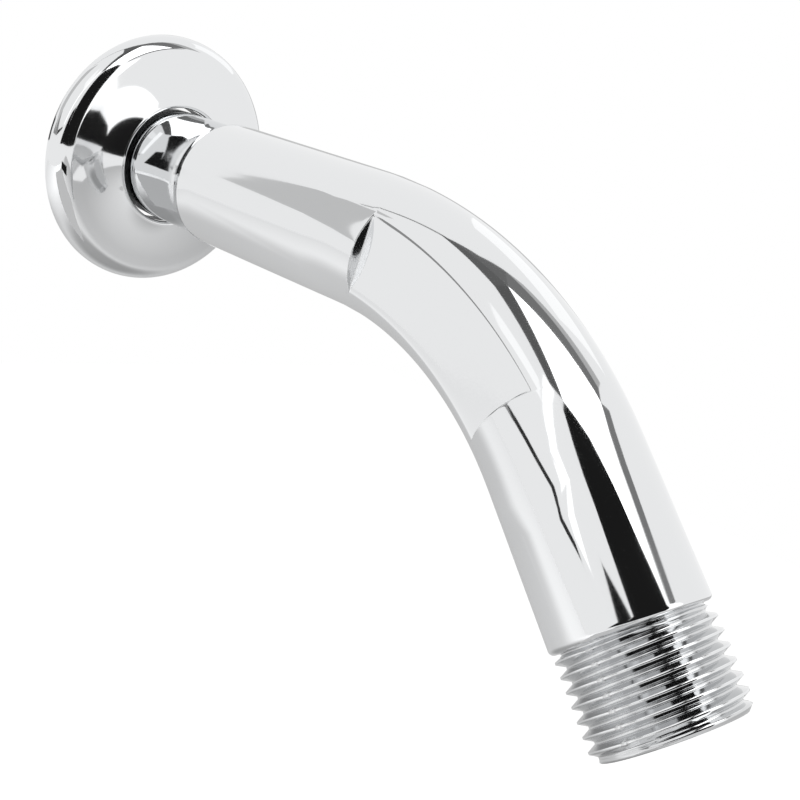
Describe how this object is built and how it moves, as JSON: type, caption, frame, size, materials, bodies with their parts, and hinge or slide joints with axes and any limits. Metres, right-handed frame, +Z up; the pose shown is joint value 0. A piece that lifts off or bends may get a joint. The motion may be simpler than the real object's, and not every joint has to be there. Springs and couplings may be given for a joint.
{
  "type": "shower arm",
  "caption": "Bent round shower arm with a male pipe thread at each end, side flats on the bend, a slim neck, and a loose bell flange that slides on the neck to cover the wall hole.",
  "frame": {"origin": "on the inlet axis, in the plane of the wall, which is the back of the flange", "axes": "+X out of the wall along the inlet, +Z up, the arm bends down in the XZ plane"},
  "size_m": [0.1502, 0.046, 0.0733],
  "materials": {
    "bright_chrome": "mirror-bright chrome plating on moulded plastic"
  },
  "bodies": {
    "arm": {"arm": "bright_chrome"},
    "flange": {"wall_flange": "bright_chrome"}
  },
  "joints": [
    {"name": "flange_slide", "type": "slide", "parent": "arm", "child": "flange", "axis": [1, 0, 0], "range_m": [0, 0.0154]}
  ]
}
